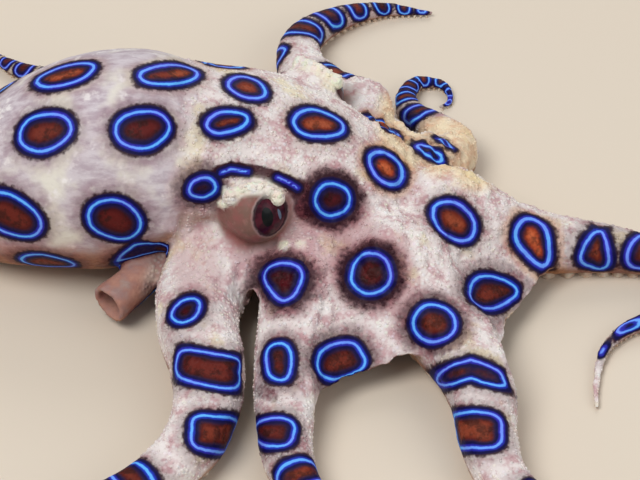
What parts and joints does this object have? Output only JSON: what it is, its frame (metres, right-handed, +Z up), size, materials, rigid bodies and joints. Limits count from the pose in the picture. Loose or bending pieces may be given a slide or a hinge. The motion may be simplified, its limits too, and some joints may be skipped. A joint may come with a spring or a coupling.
{
  "type": "blue ringed octopus",
  "caption": "Life-size still model of a greater blue ringed octopus resting on its arms: egg-shaped mantle, raised eyes, webbed arms with suckers, one arm tip curled.",
  "frame": {"origin": "on the floor that the octopus rests on, under the middle of its bounding box", "axes": "+X from the mantle's tip towards the front arms, +Y to the animal's left, +Z up"},
  "size_m": [0.1124, 0.1035, 0.0275],
  "materials": {
    "mantle_skin": "smooth moist skin, pale lilac-grey with blue rings",
    "head_skin": "moist granular skin, cream with blue rings",
    "arm_skin": "moist granular skin, cream and tan with blue rings",
    "web_skin": "thin moist skin, tan to orange-brown",
    "siphon_skin": "thin moist skin, brown",
    "eye": "wet, glossy, pink-brown with a dark pupil"
  },
  "bodies": {
    "root": {"mantle": "mantle_skin", "head": "head_skin", "eye_right": "eye", "eye_left": "eye", "siphon": "siphon_skin", "arm_r1_base": "arm_skin", "arm_r1_middle": "arm_skin", "arm_r1_tip": "arm_skin", "arm_r2_base": "arm_skin", "arm_r2_middle": "arm_skin", "arm_r2_tip": "arm_skin", "arm_r3_base": "arm_skin", "arm_r3_middle": "arm_skin", "arm_r3_tip": "arm_skin", "arm_r4_base": "arm_skin", "arm_r4_middle": "arm_skin", "arm_r4_tip": "arm_skin", "arm_l1_base": "arm_skin", "arm_l1_middle": "arm_skin", "arm_l1_tip": "arm_skin", "arm_l2_base": "arm_skin", "arm_l2_middle": "arm_skin", "arm_l2_tip": "arm_skin", "arm_l3_base": "arm_skin", "arm_l3_middle": "arm_skin", "arm_l3_tip": "arm_skin", "arm_l4_base": "arm_skin", "arm_l4_middle": "arm_skin", "arm_l4_tip": "arm_skin", "web_r4_r3": "web_skin", "web_r3_r2": "web_skin", "web_r2_r1": "web_skin", "web_r1_l1": "web_skin", "web_l1_l2": "web_skin", "web_l2_l3": "web_skin", "web_l3_l4": "web_skin"}
  },
  "joints": []
}
